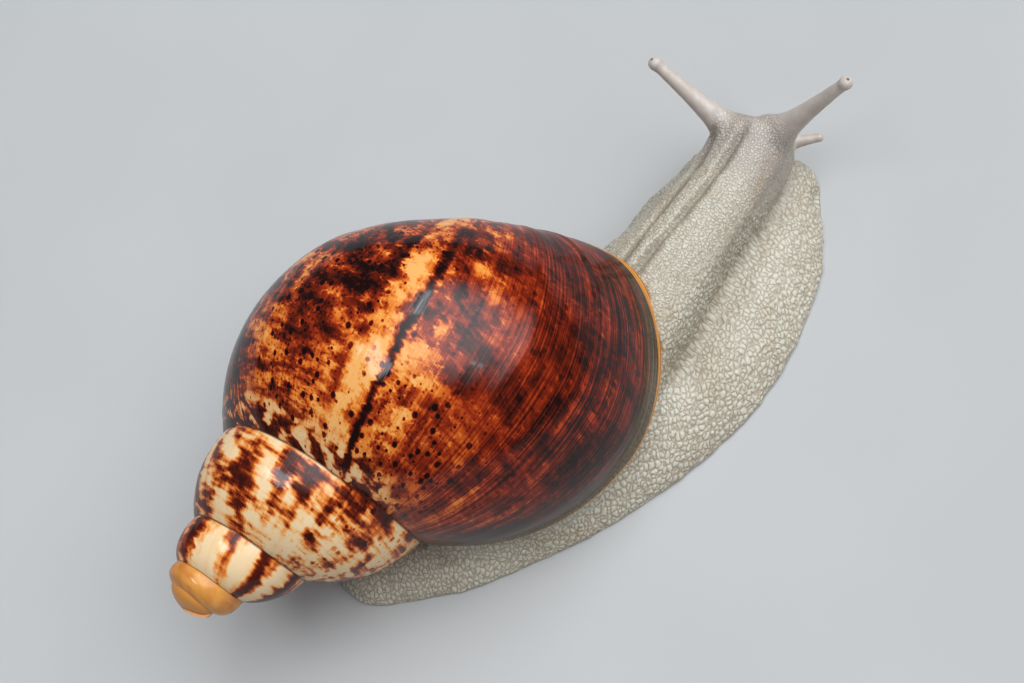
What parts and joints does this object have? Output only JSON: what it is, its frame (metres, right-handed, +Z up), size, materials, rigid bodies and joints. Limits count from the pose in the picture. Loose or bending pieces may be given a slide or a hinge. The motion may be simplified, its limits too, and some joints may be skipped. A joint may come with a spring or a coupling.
{
  "type": "giant african land snail",
  "caption": "Life-size still model of a giant land snail crawling on its flat foot under a long glossy spiral shell, head turned and feelers raised.",
  "frame": {"origin": "on the flat sole, under the middle of the animal", "axes": "+X ahead, towards the head; +Y to the animal's left; +Z up"},
  "size_m": [0.204, 0.0912, 0.0778],
  "materials": {
    "shell": "very glossy, amber with red-brown flames, spots and growth lines, cream spire, ochre tip",
    "mantle": "moist, smooth, pale",
    "skin": "moist satin, pale grey-beige with raised polygonal tubercles and darker grooves",
    "head_skin": "moist satin, greyer and finer grained",
    "eye": "glossy, near black"
  },
  "bodies": {
    "root": {"shell": "shell", "mantle": "mantle", "tail": "skin", "foot_middle": "skin", "foot_front": "skin", "trunk": "skin", "neck": "skin", "head": "head_skin", "upper_feeler_left": "head_skin", "upper_feeler_right": "head_skin", "lower_feeler_left": "head_skin", "lower_feeler_right": "head_skin", "eye_left": "eye", "eye_right": "eye"}
  },
  "joints": []
}
